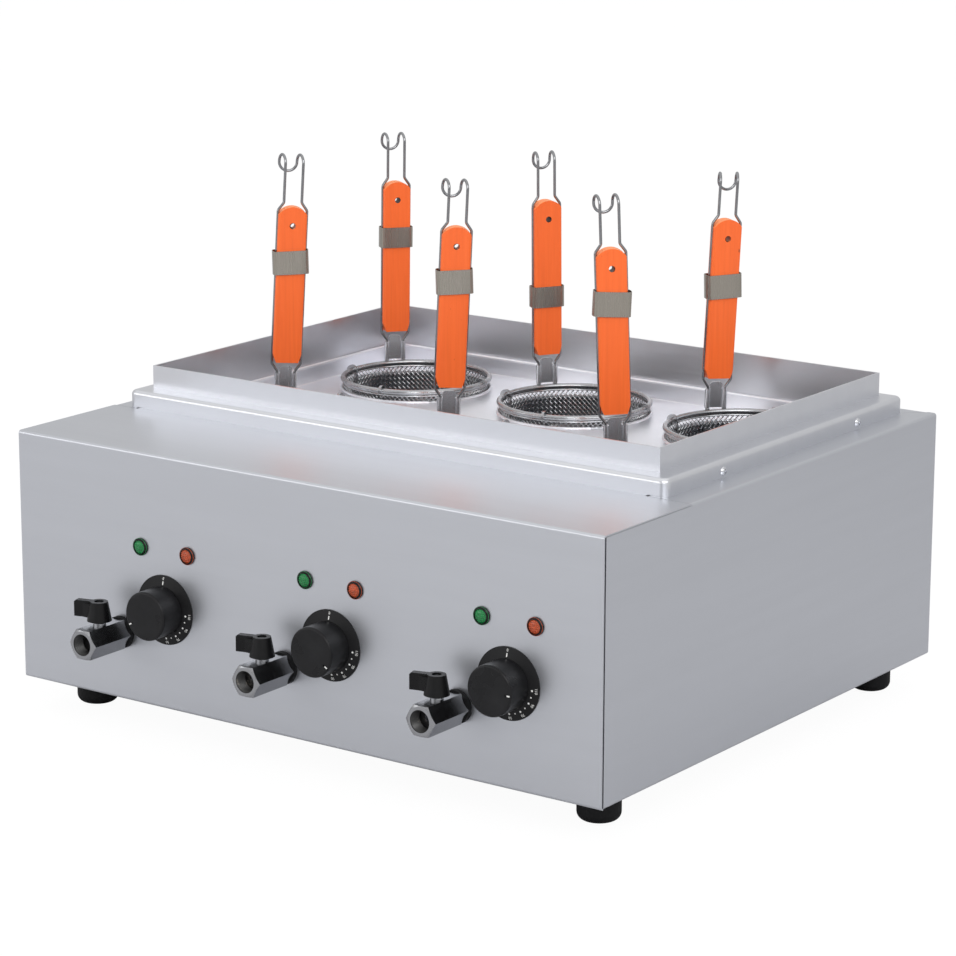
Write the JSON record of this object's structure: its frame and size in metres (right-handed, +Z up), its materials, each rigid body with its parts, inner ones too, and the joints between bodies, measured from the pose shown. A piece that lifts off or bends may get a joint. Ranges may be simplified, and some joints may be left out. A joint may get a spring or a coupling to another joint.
{
  "type": "pasta cooker",
  "caption": "Countertop electric pasta cooker: steel body with wells under a lift-out tray, round strainer baskets with wooden handles, knobs, lamps and drain taps",
  "frame": {"origin": "on the floor under the middle of the whole part", "axes": "+X to the right seen from the front, +Y to the rear, +Z up"},
  "size_m": [0.6, 0.594, 0.4572],
  "materials": {
    "panel_steel": "brushed",
    "bright_steel": "satin",
    "wire_steel": "drawn wire",
    "plated_brass": "polished",
    "heater_alloy": "oxidised",
    "switch_housing": "moulded",
    "black_rubber": "moulded",
    "black_plastic": "fine grain",
    "green_lens": "clear tinted",
    "amber_lens": "clear tinted",
    "stained_wood": "stained and varnished"
  },
  "bodies": {
    "cooker": {"front_panel": "panel_steel", "left_side_panel": "panel_steel", "right_side_panel": "panel_steel", "rear_panel": "panel_steel", "base_plate": "panel_steel", "rubber_feet": "black_rubber", "plinth_frame": "bright_steel", "splash_guard": "bright_steel", "plinth_screws": "bright_steel", "well_1": "bright_steel", "well_2": "bright_steel", "well_3": "bright_steel", "heating_element_1": "heater_alloy", "heating_element_2": "heater_alloy", "heating_element_3": "heater_alloy", "thermostat_1": "switch_housing", "thermostat_2": "switch_housing", "thermostat_3": "switch_housing", "dial_rings": "black_plastic", "green_lamps": "green_lens", "amber_lamps": "amber_lens", "valve_body_1": "plated_brass", "valve_body_2": "plated_brass", "valve_body_3": "plated_brass", "valve_gaskets": "black_rubber", "cable_gland": "black_plastic"},
    "drain_tap_1": {"valve_ball_1": "plated_brass", "valve_lever_1": "black_plastic"},
    "drain_tap_2": {"valve_ball_2": "plated_brass", "valve_lever_2": "black_plastic"},
    "drain_tap_3": {"valve_ball_3": "plated_brass", "valve_lever_3": "black_plastic"},
    "knob_1": {"knob_1": "black_plastic"},
    "knob_2": {"knob_2": "black_plastic"},
    "knob_3": {"knob_3": "black_plastic"},
    "tray": {"basket_tray": "bright_steel"},
    "basket_1": {"basket_ring_1": "wire_steel", "strainer_1": "wire_steel", "handle_frame_1": "wire_steel", "wooden_grip_1": "stained_wood"},
    "basket_2": {"basket_ring_2": "wire_steel", "strainer_2": "wire_steel", "handle_frame_2": "wire_steel", "wooden_grip_2": "stained_wood"},
    "basket_3": {"basket_ring_3": "wire_steel", "strainer_3": "wire_steel", "handle_frame_3": "wire_steel", "wooden_grip_3": "stained_wood"},
    "basket_4": {"basket_ring_4": "wire_steel", "strainer_4": "wire_steel", "handle_frame_4": "wire_steel", "wooden_grip_4": "stained_wood"},
    "basket_5": {"basket_ring_5": "wire_steel", "strainer_5": "wire_steel", "handle_frame_5": "wire_steel", "wooden_grip_5": "stained_wood"},
    "basket_6": {"basket_ring_6": "wire_steel", "strainer_6": "wire_steel", "handle_frame_6": "wire_steel", "wooden_grip_6": "stained_wood"}
  },
  "joints": [
    {"name": "knob_1_turn", "type": "hinge", "parent": "cooker", "child": "knob_1", "pos_m": [-0.13893, -0.247, 0.115], "axis": [0, 1, 0], "range_deg": [-241, 59]},
    {"name": "knob_2_turn", "type": "hinge", "parent": "cooker", "child": "knob_2", "pos_m": [0.0366, -0.247, 0.115], "axis": [0, 1, 0], "range_deg": [-122, 178]},
    {"name": "knob_3_turn", "type": "hinge", "parent": "cooker", "child": "knob_3", "pos_m": [0.21213, -0.247, 0.115], "axis": [0, 1, 0], "range_deg": [-92, 208]},
    {"name": "drain_tap_1_turn", "type": "hinge", "parent": "cooker", "child": "drain_tap_1", "pos_m": [-0.18793, -0.2745, 0.0875], "axis": [0, 0, 1], "range_deg": [-15, 75]},
    {"name": "drain_tap_2_turn", "type": "hinge", "parent": "cooker", "child": "drain_tap_2", "pos_m": [-0.0124, -0.2745, 0.0875], "axis": [0, 0, 1], "range_deg": [-15, 75]},
    {"name": "drain_tap_3_turn", "type": "hinge", "parent": "cooker", "child": "drain_tap_3", "pos_m": [0.16313, -0.2745, 0.0875], "axis": [0, 0, 1], "range_deg": [-15, 75]},
    {"name": "tray_lift", "type": "slide", "parent": "cooker", "child": "tray", "axis": [0, 0, 1], "range_m": [0, 0.15]},
    {"name": "basket_1_lift", "type": "slide", "parent": "tray", "child": "basket_1", "axis": [0, 0, 1], "range_m": [0, 0.2]},
    {"name": "basket_2_lift", "type": "slide", "parent": "tray", "child": "basket_2", "axis": [0, 0, 1], "range_m": [0, 0.2]},
    {"name": "basket_3_lift", "type": "slide", "parent": "tray", "child": "basket_3", "axis": [0, 0, 1], "range_m": [0, 0.2]},
    {"name": "basket_4_lift", "type": "slide", "parent": "tray", "child": "basket_4", "axis": [0, 0, 1], "range_m": [0, 0.2]},
    {"name": "basket_5_lift", "type": "slide", "parent": "tray", "child": "basket_5", "axis": [0, 0, 1], "range_m": [0, 0.2]},
    {"name": "basket_6_lift", "type": "slide", "parent": "tray", "child": "basket_6", "axis": [0, 0, 1], "range_m": [0, 0.2]}
  ]
}
